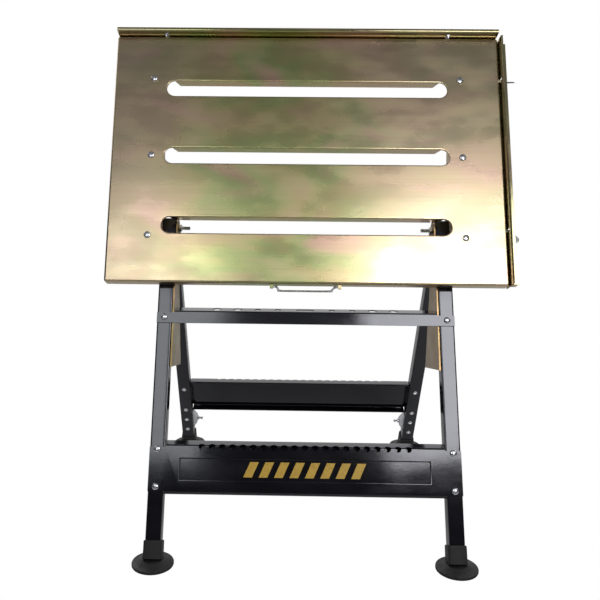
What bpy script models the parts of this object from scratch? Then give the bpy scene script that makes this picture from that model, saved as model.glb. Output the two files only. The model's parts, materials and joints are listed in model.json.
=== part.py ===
"""Folding welding table with a tilting slotted top, retractable guide rails and telescoping legs.

Metres, +Z up, +Y from the operator's side to the back, X across the width. The table stands on its
four feet at Z = 0 with its legs spread, its legs at their shortest and its top leaning back.
The top, the front legs and the rear legs are each modelled in a local frame held by an empty.
"""

import math

import bmesh
import bpy
from mathutils import Matrix, Vector

GAP = 0.0003

# Stance: where the legs meet the ground, the tilt axis and the rear legs' fold axis, as (y, z).
ORIGIN_SHIFT_X = -0.013976
FRONT_GROUND_Y = -0.280
REAR_GROUND_Y = 0.280
TILT_AXIS = (0.0, 0.563)
FOLD_AXIS = (0.024, 0.524)
TOP_TILT = math.radians(66.85)

# Top: w is the height over the tilt axis and v the distance up the slope from it.
TOP_WIDTH = 0.762
TOP_DEPTH = 0.508
TOP_W = 0.045
TOP_FRONT_V = -0.120
TOP_MID_V = TOP_FRONT_V + TOP_DEPTH / 2
TOP_SHEET = 0.0025
APRON = 0.022
APRON_BEND = 0.004
SLOT_HALF_LENGTH = 0.277
SLOT_WIDTH = 0.032
SLOT_SPACING = 0.1413
SLOT_FLANGE = 0.022

# Holes, as radii: for the pan-head bolts, the two axes, the tilt lock and the height locks' pins.
BOLT_HOLE = 0.0033
BOLT_SHANK = 0.0030
TILT_HOLE = 0.0050
FOLD_HOLE = 0.0046
TILT_LOCK_HOLE = 0.0044
PIN_HOLE = 0.0034

# Top fixings and guide rails.
TOP_BOLT_X = 0.3025
TOP_BOLT_SPACING = 0.162
BRACKET_SHEET = 0.003
BRACKET_WEB_X = 0.284
BRACKET_REAR_V = TOP_MID_V + 0.186
BRACKET_TAIL = 0.020
QUADRANT_RADIUS = 0.056
RAIL_SHEET = 0.0025
RAIL_HEIGHT = 0.046
RAIL_RAISED = 0.020
RAIL_LIP = 0.006
REAR_RAIL_HALF = 0.3785
RAIL_SCREW_W = TOP_W - 0.012
REAR_RAIL_SCREW_X = 0.281
SIDE_RAIL_SCREW_V = (-0.012, 0.298)

# Carry handle.
HANDLE_HALF = 0.060
HANDLE_REACH = 0.036
HANDLE_WIRE = 0.0021
HANDLE_HOLE = HANDLE_WIRE + 0.0003
HANDLE_AXIS = (TOP_FRONT_V - 0.0040, TOP_W - 0.0105)

# Legs: square tube, with the inner leg sliding in the outer one.
LEG_X = 0.266
LEG_SIDE = 0.028
LEG_WALL = 0.002
LEG_CORNER = 0.003
LEG_TOP = 0.015
INNER_SIDE = 0.0234
INNER_FOOT_END = 0.014
INNER_LENGTH = 0.300
BOOT_SIDE = 0.033
BOOT_TOP = 0.041
FOOT_RADIUS = 0.037
LEG_LOCK_HEIGHT = {"front": 0.155, "rear": 0.092}
LOCK_HOLES = 5
SPRING_SHEET = 0.0012
SPRING_HALF_LENGTH = 0.027
SPRING_HALF_WIDTH = 0.007
SPRING_RISE = 0.0100
LOCK_HOLE_PITCH = 0.030

# Cross members, measured along the leg from the ground.
MEMBER_SHEET = 0.002
STEP_LOW = 0.121
STEP_HIGH = 0.206
STEP_TREAD = 0.027
STEP_LIP = 0.016
STEP_BACK = 0.062
STEP_BACK_CLEAR = {"front": 0.050, "rear": 0.009}
STEP_BOLTS = (0.1325, 0.1985)
STEP_HOLES = 21
STEP_HOLE_PITCH = 0.0186
STEP_HOLE_RADIUS = 0.0062
PANEL_HALF_LENGTH = 0.226
PANEL_HALF_HEIGHT = 0.021
TOOL_RAIL_MID = 0.4445
TOOL_RAIL_HEIGHT = 0.023
TOOL_RAIL_SHELF = 0.029
TOOL_HOLES = ((0.168, 0.0085), (0.128, 0.0085), (0.090, 0.006), (0.0515, 0.006))
TOOL_SLOT = (0.034, 0.011)

# Side plates, tilt lock and pivot bolts.
PLATE_SHEET = 0.0026
PLATE_X = 0.2500
PLATE_REAR_Y = -0.004
PLATE_LOW_Z = 0.286
PLATE_FRONT_LOW_Z = 0.318
PLATE_HEAD_Z = 0.500
TILT_LOCK_RADIUS = 0.042
PLATE_BOLT_HEIGHT = 0.400

SIDES = (("left", -1), ("right", 1))


def clear_scene():
    for item in list(bpy.data.objects):
        bpy.data.objects.remove(item, do_unlink=True)


def make_material(name, colour, roughness, metallic):
    material = bpy.data.materials.new(name)
    material.use_nodes = True
    shader = material.node_tree.nodes["Principled BSDF"]
    shader.inputs["Base Color"].default_value = (*colour, 1.0)
    shader.inputs["Roughness"].default_value = roughness
    shader.inputs["Metallic"].default_value = metallic
    return material


def own_material(name, finish):
    """A sub-part's own copy of the finish it is made in."""
    own = finish.copy()
    own.name = f"{name}_{finish.name}"
    return own


def add_empty(name, parent, location, rotation_x=0.0):
    empty = bpy.data.objects.new(name, None)
    bpy.context.scene.collection.objects.link(empty)
    empty.parent = parent
    empty.location = location
    empty.rotation_euler = (rotation_x, 0.0, 0.0)
    return empty


def add_solid(name, bm, finish, parent, location=(0.0, 0.0, 0.0), rotation=(0.0, 0.0, 0.0)):
    """One object from a bmesh, shaded smooth across every edge flatter than 35 degrees."""
    mesh = bpy.data.meshes.new(name)
    bm.to_mesh(mesh)
    bm.free()
    mesh.shade_smooth()
    mesh.set_sharp_from_angle(angle=math.radians(35))
    mesh.materials.append(own_material(name, finish))
    solid = bpy.data.objects.new(name, mesh)
    bpy.context.scene.collection.objects.link(solid)
    solid.parent = parent
    solid.location = location
    solid.rotation_euler = rotation
    return solid


def add_tool(target, bm, operation):
    """A hidden shape in the target's own frame, joined to it or cut from it."""
    mesh = bpy.data.meshes.new(target.name + "_tool")
    bm.to_mesh(mesh)
    bm.free()
    tool = bpy.data.objects.new(target.name + "_tool", mesh)
    bpy.context.scene.collection.objects.link(tool)
    tool.parent = target
    tool.hide_render = True
    tool.display_type = "WIRE"
    modifier = target.modifiers.new(operation.lower(), "BOOLEAN")
    modifier.operation = operation
    modifier.object = tool
    modifier.solver = "EXACT"


def cut(target, bm):
    add_tool(target, bm, "DIFFERENCE")


def unite(target, bm):
    add_tool(target, bm, "UNION")


def placed(a, b, c, axis):
    """A point of an outline (a, b) at height c on the given axis."""
    if axis == "X":
        return (c, a, b)
    if axis == "Y":
        return (a, c, b)
    return (a, b, c)


def prism(outline, low, high, axis="Z", into=None):
    """A closed prism: the outline's points are (y, z), (x, z) or (x, y) for axis X, Y or Z."""
    bm = into or bmesh.new()
    rings = [[bm.verts.new(placed(a, b, c, axis)) for a, b in outline] for c in (low, high)]
    faces = [bm.faces.new(rings[0]), bm.faces.new(rings[1])]
    for i in range(len(outline)):
        j = (i + 1) % len(outline)
        faces.append(bm.faces.new((rings[0][i], rings[0][j], rings[1][j], rings[1][i])))
    bmesh.ops.recalc_face_normals(bm, faces=faces)
    return bm


def block(low, high, into=None):
    outline = ((low[0], low[1]), (high[0], low[1]), (high[0], high[1]), (low[0], high[1]))
    return prism(outline, low[2], high[2], "Z", into)


def turned(profile, segments, axis="X", centre=(0.0, 0.0), into=None):
    """A solid turned about an axis. The profile's points are (height, radius), starting and ending
    on the axis at radius 0; centre is the axis's place in the other two coordinates."""
    bm = into or bmesh.new()
    rings = []
    for height, radius in profile:
        if radius == 0.0:
            rings.append([bm.verts.new(placed(centre[0], centre[1], height, axis))])
            continue
        ring = []
        for i in range(segments):
            angle = 2 * math.pi * i / segments
            a = centre[0] + radius * math.cos(angle)
            b = centre[1] + radius * math.sin(angle)
            ring.append(bm.verts.new(placed(a, b, height, axis)))
        rings.append(ring)
    faces = []
    for first, second in zip(rings, rings[1:]):
        for i in range(segments):
            j = (i + 1) % segments
            corners = (first[i % len(first)], first[j % len(first)],
                       second[j % len(second)], second[i % len(second)])
            faces.append(bm.faces.new(tuple(dict.fromkeys(corners))))
    bmesh.ops.recalc_face_normals(bm, faces=faces)
    return bm


def rod(radius, low, high, segments, axis="X", centre=(0.0, 0.0), into=None):
    profile = ((low, 0.0), (low, radius), (high, radius), (high, 0.0))
    return turned(profile, segments, axis, centre, into)


def arc(centre, radius, start, end, steps):
    points = []
    for i in range(steps + 1):
        angle = start + (end - start) * i / steps
        points.append((centre[0] + radius * math.cos(angle), centre[1] + radius * math.sin(angle)))
    return points


def rounded_rectangle(half_a, half_b, radius, steps=2):
    points = []
    for quarter, (sign_a, sign_b) in enumerate(((1, 1), (-1, 1), (-1, -1), (1, -1))):
        centre = (sign_a * (half_a - radius), sign_b * (half_b - radius))
        start = quarter * math.pi / 2
        points += arc(centre, radius, start, start + math.pi / 2, steps)
    return points


def stadium(centre, half_length, half_width, steps=10):
    """A slot outline along a with round ends."""
    reach = half_length - half_width
    right = arc((centre[0] + reach, centre[1]), half_width, -math.pi / 2, math.pi / 2, steps)
    left = arc((centre[0] - reach, centre[1]), half_width, math.pi / 2, 3 * math.pi / 2, steps)
    return right + left


def square_tube(side, wall, corner, low, high):
    """A square tube along Z, open at both ends."""
    bm = bmesh.new()
    outer = rounded_rectangle(side / 2, side / 2, corner)
    inner = rounded_rectangle(side / 2 - wall, side / 2 - wall, max(corner - wall, 0.0008))
    rings = [[bm.verts.new((a, b, z)) for a, b in outline]
             for outline, z in ((outer, low), (outer, high), (inner, high), (inner, low))]
    faces = []
    for first, second in zip(rings, rings[1:] + rings[:1]):
        for i in range(len(outer)):
            j = (i + 1) % len(outer)
            faces.append(bm.faces.new((first[i], first[j], second[j], second[i])))
    bmesh.ops.recalc_face_normals(bm, faces=faces)
    return bm


def filleted(points, radius, steps=3):
    """A path with each of its inner corners rounded."""
    path = [Vector(points[0])]
    for before, corner, after in zip(points, points[1:], points[2:]):
        corner = Vector(corner)
        back = (Vector(before) - corner).normalized()
        ahead = (Vector(after) - corner).normalized()
        half = back.angle(ahead) / 2
        reach = radius / math.tan(half)
        centre = corner + (back + ahead).normalized() * (radius / math.sin(half))
        start = corner + back * reach - centre
        end = corner + ahead * reach - centre
        for i in range(steps + 1):
            direction = start.slerp(end, i / steps) if 0 < i < steps else (start if i == 0 else end)
            path.append(centre + direction.normalized() * radius)
    path.append(Vector(points[-1]))
    return path


def sheet_outline(points, thickness, radius):
    """The outline of a bent sheet whose middle follows the points."""
    path = filleted(points, radius)
    left, right = [], []
    for i, point in enumerate(path):
        before = (point - path[i - 1]).normalized() if i else None
        after = (path[i + 1] - point).normalized() if i + 1 < len(path) else None
        along = ((before or after) + (after or before)).normalized()
        stretch = along.dot(after or before)
        normal = Vector((-along.y, along.x)) * (thickness / 2 / stretch)
        left.append(tuple(point + normal))
        right.append(tuple(point - normal))
    return left + right[::-1]


def pan_bolt(direction, seat, head_radius, head_height, shank_radius, shank_length, centre, axis):
    """A pan-head bolt: its head rises from the seat and its shank runs the other way."""
    top = seat + direction * head_height
    end = seat - direction * shank_length
    profile = [(top, 0.0), (top, head_radius * 0.55), (seat + direction * head_height * 0.35, head_radius),
               (seat, head_radius), (seat, shank_radius), (end, shank_radius), (end, 0.0)]
    return turned(profile, 10, axis, centre)


# --- The tilting top, in its own frame: x across, y up the slope (v), z out of its face (w). ---


def make_table_top(frame, zinc):
    bm = block((-TOP_WIDTH / 2, TOP_FRONT_V, TOP_W - APRON),
               (TOP_WIDTH / 2, TOP_FRONT_V + TOP_DEPTH, TOP_W))
    edges = [e for e in bm.edges if max(v.co.z for v in e.verts) > TOP_W - 1e-6]
    bmesh.ops.bevel(bm, geom=edges, offset=APRON_BEND, segments=3, profile=0.5, affect="EDGES")
    top = add_solid("table_top", bm, zinc, frame)
    hollow = block((-TOP_WIDTH / 2 + TOP_SHEET, TOP_FRONT_V + TOP_SHEET, TOP_W - APRON - 0.010),
                   (TOP_WIDTH / 2 - TOP_SHEET, TOP_FRONT_V + TOP_DEPTH - TOP_SHEET, TOP_W - TOP_SHEET))
    cut(top, hollow)
    unite(top, slot_flanges())
    cut(top, slot_cutters())
    unite(top, handle_lugs())
    cut(top, rod(HANDLE_HOLE, -HANDLE_HALF - 0.0060, HANDLE_HALF + 0.0060, 12, "X", HANDLE_AXIS))
    cut(top, top_fixing_holes())
    return top


def slot_centres():
    return [TOP_MID_V + i * SLOT_SPACING for i in (-1, 0, 1)]


def slot_flanges():
    """The bent-down lips along both straight sides of each slot, cut back at their ends."""
    bm = bmesh.new()
    high = TOP_W - TOP_SHEET * 0.4
    low = TOP_W - SLOT_FLANGE
    reach = SLOT_HALF_LENGTH - SLOT_WIDTH / 2
    outline = ((-reach, high), (-reach, high - 0.004), (-reach + 0.008, low), (reach - 0.008, low),
               (reach, high - 0.004), (reach, high))
    for middle in slot_centres():
        for side in (-1, 1):
            inner = middle + side * (SLOT_WIDTH / 2 - 0.001)
            outer = middle + side * (SLOT_WIDTH / 2 + TOP_SHEET)
            prism(outline, min(inner, outer), max(inner, outer), "Y", bm)
    return bm


def slot_cutters():
    bm = bmesh.new()
    for middle in slot_centres():
        outline = stadium((0.0, middle), SLOT_HALF_LENGTH, SLOT_WIDTH / 2)
        prism(outline, TOP_W - 0.030, TOP_W + 0.005, "Z", bm)
    return bm


def handle_lugs():
    """Two lugs welded to the front apron, which hold the handle's ends."""
    bm = bmesh.new()
    for side in (-1, 1):
        ends = sorted((side * (HANDLE_HALF + 0.0012), side * (HANDLE_HALF + 0.0075)))
        block((ends[0], TOP_FRONT_V - 0.0074, HANDLE_AXIS[1] - 0.0034),
              (ends[1], TOP_FRONT_V + 0.0010, HANDLE_AXIS[1] + 0.0034), bm)
    return bm


def top_bolt_places():
    return [(side * TOP_BOLT_X, TOP_MID_V + i * TOP_BOLT_SPACING) for i in (-1, 0, 1) for side in (-1, 1)]


def top_fixing_holes():
    bm = bmesh.new()
    for place in top_bolt_places():
        rod(BOLT_HOLE, TOP_W - 0.008, TOP_W + 0.004, 12, "Z", place, bm)
    for side in (-1, 1):
        place = (side * REAR_RAIL_SCREW_X, RAIL_SCREW_W)
        rod(BOLT_HOLE, TOP_FRONT_V + TOP_DEPTH - 0.006, TOP_FRONT_V + TOP_DEPTH + 0.004, 12, "Y", place, bm)
    for v in SIDE_RAIL_SCREW_V:
        rod(BOLT_HOLE, TOP_WIDTH / 2 - 0.006, TOP_WIDTH / 2 + 0.004, 12, "X", (v, RAIL_SCREW_W), bm)
    return bm


def leg_direction_in_top(tilt):
    """Where the front leg points from the tilt axis, seen from a top leaning back by this tilt."""
    down = math.atan2(-TILT_AXIS[1], FRONT_GROUND_Y - TILT_AXIS[0]) - tilt
    return math.cos(down), math.sin(down)


def bracket_web_outline():
    """A side web: a quadrant round the tilt axis and a tail that tapers to the back."""
    ceiling = TOP_W - TOP_SHEET - GAP
    quadrant = arc((0.0, 0.0), QUADRANT_RADIUS, math.radians(180), math.radians(318), 14)
    return [(BRACKET_REAR_V, ceiling), (-QUADRANT_RADIUS, ceiling)] + quadrant + [
        (BRACKET_REAR_V, ceiling - BRACKET_TAIL)]


def make_top_bracket(name, side, frame, zinc):
    """An angle under the top: its flange takes the top bolts and its web turns on the tilt axis."""
    web = sorted((side * BRACKET_WEB_X, side * (BRACKET_WEB_X + BRACKET_SHEET)))
    bracket = add_solid(name, prism(bracket_web_outline(), web[0], web[1], "X"), zinc, frame)
    ceiling = TOP_W - TOP_SHEET - GAP
    flange = sorted((side * (BRACKET_WEB_X + 0.001), side * (TOP_BOLT_X + 0.014)))
    unite(bracket, block((flange[0], -QUADRANT_RADIUS, ceiling - BRACKET_SHEET),
                         (flange[1], BRACKET_REAR_V, ceiling)))
    holes = rod(TILT_HOLE, web[0] - 0.003, web[1] + 0.003, 16, "X", (0.0, 0.0))
    for tilt in (0.0, TOP_TILT / 2, TOP_TILT):
        a, b = leg_direction_in_top(tilt)
        place = (a * TILT_LOCK_RADIUS, b * TILT_LOCK_RADIUS)
        rod(TILT_LOCK_HOLE, web[0] - 0.003, web[1] + 0.003, 12, "X", place, holes)
    for x, v in top_bolt_places():
        if x * side > 0:
            rod(BOLT_HOLE, ceiling - 0.006, ceiling + 0.003, 12, "Z", (x, v), holes)
    cut(bracket, holes)
    return bracket


def make_top_bolts(frame, steel):
    for number, place in enumerate(top_bolt_places()):
        column = "left" if place[0] < 0 else "right"
        row = ("front", "middle", "rear")[number // 2]
        bm = pan_bolt(1, TOP_W + GAP, 0.0066, 0.0030, BOLT_SHANK, 0.0100, place, "Z")
        add_solid(f"top_bolt_{row}_{column}", bm, steel, frame)


def rail_section(edge, outward):
    """A guide rail's section: a flat plate beside the apron with a small lip turned out at its top."""
    near = edge + outward * (GAP + RAIL_SHEET / 2 + 0.0005)
    top = TOP_W + RAIL_RAISED - RAIL_SHEET / 2
    path = ((near, TOP_W + RAIL_RAISED - RAIL_HEIGHT), (near, top), (near + outward * RAIL_LIP, top))
    return sheet_outline(path, RAIL_SHEET, 0.0022)


def rail_slot(a, low, high, axis, into=None):
    """An upright slot through a rail at a, long enough for the rail's whole travel."""
    half = 0.0035
    outline = [(a + p, RAIL_SCREW_W + RAIL_RAISED / 2 + q)
               for q, p in stadium((0.0, 0.0), RAIL_RAISED / 2 + half, half, 4)]
    return prism(outline, low, high, axis, into)


def make_rear_rail(frame, zinc):
    edge = TOP_FRONT_V + TOP_DEPTH
    bm = prism(rail_section(edge, 1), -REAR_RAIL_HALF, REAR_RAIL_HALF, "X")
    rail = add_solid("rear_guide_rail", bm, zinc, frame)
    slots = bmesh.new()
    for side in (-1, 1):
        rail_slot(side * REAR_RAIL_SCREW_X, edge - 0.004, edge + 0.006, "Y", slots)
    cut(rail, slots)
    return rail


def make_side_rail(frame, zinc):
    """The short rail on the right. Its front end is closed by a tab, its rear corner is notched."""
    edge = TOP_WIDTH / 2
    front = TOP_FRONT_V
    back = TOP_FRONT_V + TOP_DEPTH - 0.004
    rail = add_solid("side_guide_rail", prism(rail_section(edge, 1), front, back, "Y"), zinc, frame)
    unite(rail, block((edge + 0.002, front - RAIL_SHEET / 2, TOP_W + RAIL_RAISED - 0.024),
                      (edge + 0.0108, front + RAIL_SHEET / 2, TOP_W + RAIL_RAISED - 0.0006)))
    cut(rail, block((edge + 0.0045, back - 0.020, TOP_W - 0.010),
                    (edge + 0.020, back + 0.010, TOP_W + 0.040)))
    slots = bmesh.new()
    for v in SIDE_RAIL_SCREW_V:
        rail_slot(v, edge - 0.004, edge + 0.006, "X", slots)
    cut(rail, slots)
    return rail


def make_wing_screw(name, frame, steel, location, turn, about):
    """A clamping screw with one flat wing. It is made along +X and turned into place."""
    profile = ((-0.0090, 0.0), (-0.0090, 0.0030), (0.0042, 0.0030), (0.0042, 0.0062), (0.0110, 0.0050),
               (0.0120, 0.0035), (0.0120, 0.0))
    if about == "X":
        rotation = (turn, 0.0, 0.0)
    else:
        rotation = Matrix.Rotation(math.pi / 2, 3, "Z") @ Matrix.Rotation(turn, 3, "X")
        rotation = rotation.to_euler()
    screw = add_solid(name, turned(profile, 14), steel, frame, location, rotation)
    slope = math.radians(45)
    along = Vector((math.cos(slope), -math.sin(slope)))
    across = Vector((math.sin(slope), math.cos(slope)))
    start = Vector((0.0075, -0.0005))
    ends = [start - across * 0.0045, start + along * 0.021 - across * 0.0058]
    tip = arc((0.0, 0.0), 0.0058, -math.pi / 2, math.pi / 2, 6)
    outline = [tuple(ends[0])]
    outline += [tuple(start + along * (0.021 + a) + across * b) for a, b in tip]
    outline += [tuple(start + across * 0.0045)]
    unite(screw, prism(outline, -0.0012, 0.0012, "Y"))
    return screw


def make_carry_handle(frame, steel):
    """A bent wire bail along the front apron. Its origin is on the line of its two lugs."""
    half = HANDLE_HALF
    path = [(-half - 0.0054, 0.0), (-half + 0.0008, 0.0), (-half + 0.0036, -0.0016)]
    path += [(-half + 0.0056, -0.0050), (-half + 0.0084, -HANDLE_REACH + 0.0100)]
    path += [(-half + 0.0105, -HANDLE_REACH + 0.0035), (-half + 0.0165, -HANDLE_REACH)]
    path += [(-x, z) for x, z in reversed(path)]
    curve = bpy.data.curves.new("carry_handle", "CURVE")
    curve.dimensions = "3D"
    curve.bevel_depth = HANDLE_WIRE
    curve.bevel_resolution = 2
    curve.use_fill_caps = True
    curve.materials.append(own_material("carry_handle", steel))
    spline = curve.splines.new("POLY")
    spline.points.add(len(path) - 1)
    for point, (x, z) in zip(spline.points, path):
        point.co = (x, 0.0, z, 1.0)
    handle = bpy.data.objects.new("carry_handle", curve)
    bpy.context.scene.collection.objects.link(handle)
    handle.parent = frame
    handle.location = (0.0, *HANDLE_AXIS)
    return handle


def make_top_group(stand, zinc, steel):
    frame = add_empty("top_frame", stand, (0.0, *TILT_AXIS), TOP_TILT)
    make_table_top(frame, zinc)
    for word, side in SIDES:
        make_top_bracket(f"top_bracket_{word}", side, frame, zinc)
    make_top_bolts(frame, steel)
    make_rear_rail(frame, zinc)
    make_side_rail(frame, zinc)
    rear_face = TOP_FRONT_V + TOP_DEPTH
    for word, side in SIDES:
        place = (side * REAR_RAIL_SCREW_X, rear_face, RAIL_SCREW_W)
        make_wing_screw(f"rear_wing_screw_{word}", frame, steel, place, math.radians(90), "Y")
    for word, v, turn in (("front", SIDE_RAIL_SCREW_V[0], -60), ("rear", SIDE_RAIL_SCREW_V[1], 208)):
        place = (TOP_WIDTH / 2, v, RAIL_SCREW_W)
        make_wing_screw(f"side_wing_screw_{word}", frame, steel, place, math.radians(turn), "X")
    make_carry_handle(frame, steel)


# --- A leg pair, in the frame of its axis: z up along the legs, y towards the back, x across. ---


def outer_leg_holes(ground, side, lock, top_radius):
    """Holes through one outer tube: its bolt at the top and the pin of its height lock."""
    holes = rod(top_radius, -0.020, 0.020, 14, "X", (0.0, 0.0))
    reach = sorted((-side * 0.006, -side * 0.020))
    rod(PIN_HOLE, reach[0], reach[1], 10, "X", (0.0, ground + lock), holes)
    return holes


def make_outer_leg(name, side, frame, black, ground, lock, face, member_bolts, top_radius):
    """face is -1 where the cross members bolt to the front of the tube and 1 to its back."""
    tube = square_tube(LEG_SIDE, LEG_WALL, LEG_CORNER, ground + BOOT_TOP + 0.0005, LEG_TOP)
    leg = add_solid(name, tube, black, frame, (side * LEG_X, 0.0, 0.0))
    holes = outer_leg_holes(ground, side, lock, top_radius)
    reach = sorted((face * 0.010, face * 0.018))
    for height in member_bolts:
        rod(BOLT_HOLE, reach[0], reach[1], 10, "Y", (0.0, ground + height), holes)
    cut(leg, holes)
    return leg


def make_inner_leg(name, side, frame, black, ground, lock):
    """The sliding leg. A row of holes on its inner side takes the lock's pin at each height."""
    low = ground + INNER_FOOT_END
    tube = square_tube(INNER_SIDE, LEG_WALL, 0.0025, low, low + INNER_LENGTH)
    leg = add_solid(name, tube, black, frame, (side * LEG_X, 0.0, 0.0))
    reach = sorted((-side * 0.006, -side * 0.015))
    holes = bmesh.new()
    for i in range(LOCK_HOLES):
        rod(PIN_HOLE, reach[0], reach[1], 10, "X", (0.0, ground + lock + i * LOCK_HOLE_PITCH), holes)
    cut(leg, holes)
    return leg


def make_foot(name, side, frame, rubber, ground, lean):
    """A rubber foot: a round pad flat on the ground and a square boot that follows the leg."""
    pad = ((0.0, 0.0), (0.0, FOOT_RADIUS - 0.0015), (0.0015, FOOT_RADIUS), (0.0050, FOOT_RADIUS),
           (0.0062, FOOT_RADIUS - 0.0012), (0.0120, 0.0200), (0.0120, 0.0))
    place = (side * LEG_X, 0.0, ground)
    foot = add_solid(name, turned(pad, 32, "Z"), rubber, frame, place, (-lean, 0.0, 0.0))
    turn = Matrix.Rotation(lean, 3, "X")
    half = BOOT_SIDE / 2
    boot = prism(rounded_rectangle(half, half, 0.004), 0.0105, BOOT_TOP)
    bmesh.ops.rotate(boot, verts=boot.verts, matrix=turn)
    unite(foot, boot)
    half = INNER_SIDE / 2 + GAP
    socket = prism(rounded_rectangle(half, half, 0.0025), INNER_FOOT_END - GAP, BOOT_TOP + 0.010)
    bmesh.ops.rotate(socket, verts=socket.verts, matrix=turn)
    cut(foot, socket)
    return foot


def make_lock_spring(name, side, frame, steel, ground, lock):
    """A bowed leaf with two side webs on the leg's inner side, and a hole for the pin at its middle."""
    face = -side * (LEG_SIDE / 2 + GAP)
    rise = -side * SPRING_RISE
    middle = ground + lock
    bow = []
    for i in range(13):
        t = -1 + i / 6
        bow.append((face + rise * math.cos(t * math.pi / 2) ** 2, middle + t * SPRING_HALF_LENGTH))
    thick = -side * SPRING_SHEET
    outline = bow + [(x + thick, z) for x, z in reversed(bow)]
    leaf = prism(outline, -SPRING_HALF_WIDTH, SPRING_HALF_WIDTH, "Y")
    spring = add_solid(name, leaf, steel, frame, (side * LEG_X, 0.0, 0.0))
    webs = bmesh.new()
    web = [(x + thick / 2, z) for x, z in bow]
    for edge in (-SPRING_HALF_WIDTH, SPRING_HALF_WIDTH - SPRING_SHEET):
        prism([(face, web[0][1])] + web + [(face, web[-1][1])], edge, edge + SPRING_SHEET, "Y", webs)
    unite(spring, webs)
    reach = sorted((face + rise * 0.4, face + rise * 1.8))
    cut(spring, rod(PIN_HOLE, reach[0], reach[1], 10, "X", (0.0, middle)))
    return spring


def make_lock_pin(name, side, frame, steel, ground, lock):
    """The pull pin. Its tip stands in the outer tube's wall and its collar sits on the spring."""
    tip = LEG_SIDE / 2 - LEG_WALL
    seat = LEG_SIDE / 2 + GAP + SPRING_RISE + SPRING_SHEET + GAP
    outer = [(tip, 0.0), (tip, 0.0030), (seat, 0.0030), (seat, 0.0048), (seat + 0.0022, 0.0048)]
    outer += [(seat + 0.0022, 0.0022), (seat + 0.0065, 0.0022), (seat + 0.0075, 0.0038)]
    outer += [(seat + 0.0100, 0.0038), (seat + 0.0108, 0.0026), (seat + 0.0108, 0.0)]
    profile = [(-side * height, radius) for height, radius in outer]
    return add_solid(name, turned(profile, 12, "X", (0.0, ground + lock)), steel, frame,
                     (side * LEG_X, 0.0, 0.0))


def step_section(ground, face, lean):
    """The step's section as a path: lip, face, a level tread and a back. Depth runs away from the face."""
    near = face * (LEG_SIDE / 2 + GAP + MEMBER_SHEET / 2)
    tread = (near - face * STEP_TREAD * math.cos(lean), ground + STEP_HIGH + STEP_TREAD * math.sin(lean))
    path = ((near - face * STEP_LIP, ground + STEP_LOW), (near, ground + STEP_LOW),
            (near, ground + STEP_HIGH), tread, (tread[0], tread[1] - STEP_BACK))
    return sheet_outline(path, MEMBER_SHEET, 0.0040)


def step_back_ends(ground, face, lean, clear, shortened):
    """What the step's back is cut back by at each end, below the tread."""
    bm = bmesh.new()
    back = -face * (STEP_TREAD * math.cos(lean) - LEG_SIDE / 2)
    depth = sorted((back + face * 0.0030, back - face * 0.0060))
    top = ground + STEP_HIGH + STEP_TREAD * math.sin(lean) - MEMBER_SHEET * 2
    for side in (-1, 1):
        reach = sorted((side * (clear - shortened), side * (clear + 0.001)))
        block((reach[0], depth[0], top - STEP_BACK), (reach[1], depth[1], top), bm)
    return bm


def step_grip_holes(ground, face):
    """A row of round grip holes that cut the bend between the step's face and its tread."""
    bm = bmesh.new()
    near = face * (LEG_SIDE / 2 + GAP + MEMBER_SHEET / 2)
    first = (STEP_HOLES - 1) / 2
    for i in range(STEP_HOLES):
        x = (i - first) * STEP_HOLE_PITCH
        rod(STEP_HOLE_RADIUS, -0.016, 0.020, 8, "Z", (x, 0.0), bm)
    turn = Matrix.Rotation(face * math.radians(-62), 3, "X")
    bmesh.ops.rotate(bm, verts=bm.verts, matrix=turn)
    bmesh.ops.translate(bm, verts=bm.verts, vec=(0.0, near, ground + STEP_HIGH - 0.0015))
    return bm


def make_step(name, frame, black, ground, face, lean, shortened):
    """A pressed sheet step. Its ends lap the legs and its long panel is sunk into the face."""
    clear = LEG_X - LEG_SIDE / 2 - 0.001
    step = add_solid(name, prism(step_section(ground, face, lean), -clear, clear, "X"), black, frame)
    cut(step, step_back_ends(ground, face, lean, clear, shortened))
    depth = sorted((face * (LEG_SIDE / 2 + GAP), face * (LEG_SIDE / 2 + GAP + MEMBER_SHEET)))
    end = LEG_X + LEG_SIDE / 2
    ends = bmesh.new()
    for side in (-1, 1):
        reach = sorted((side * (clear - 0.0250), side * end))
        block((reach[0], depth[0], ground + STEP_LOW + 0.0032),
              (reach[1], depth[1], ground + STEP_HIGH - 0.0032), ends)
    unite(step, ends)
    middle = ground + (STEP_LOW + STEP_HIGH) / 2
    back = sorted((face * (LEG_SIDE / 2 + GAP - 0.0020), face * (LEG_SIDE / 2 + GAP + 0.0005)))
    unite(step, block((-PANEL_HALF_LENGTH, back[0], middle - PANEL_HALF_HEIGHT),
                      (PANEL_HALF_LENGTH, back[1], middle + PANEL_HALF_HEIGHT)))
    pocket = sorted((face * (LEG_SIDE / 2 + GAP), face * (LEG_SIDE / 2 + GAP + 0.010)))
    inset = 0.0025
    cut(step, block((-PANEL_HALF_LENGTH + inset, pocket[0], middle - PANEL_HALF_HEIGHT + inset),
                    (PANEL_HALF_LENGTH - inset, pocket[1], middle + PANEL_HALF_HEIGHT - inset)))
    cut(step, step_grip_holes(ground, face))
    holes = bmesh.new()
    for side in (-1, 1):
        for height in STEP_BOLTS:
            place = (side * LEG_X, ground + height)
            rod(BOLT_HOLE, depth[0] - 0.004, depth[1] + 0.004, 10, "Y", place, holes)
    cut(step, holes)
    return step


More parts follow.
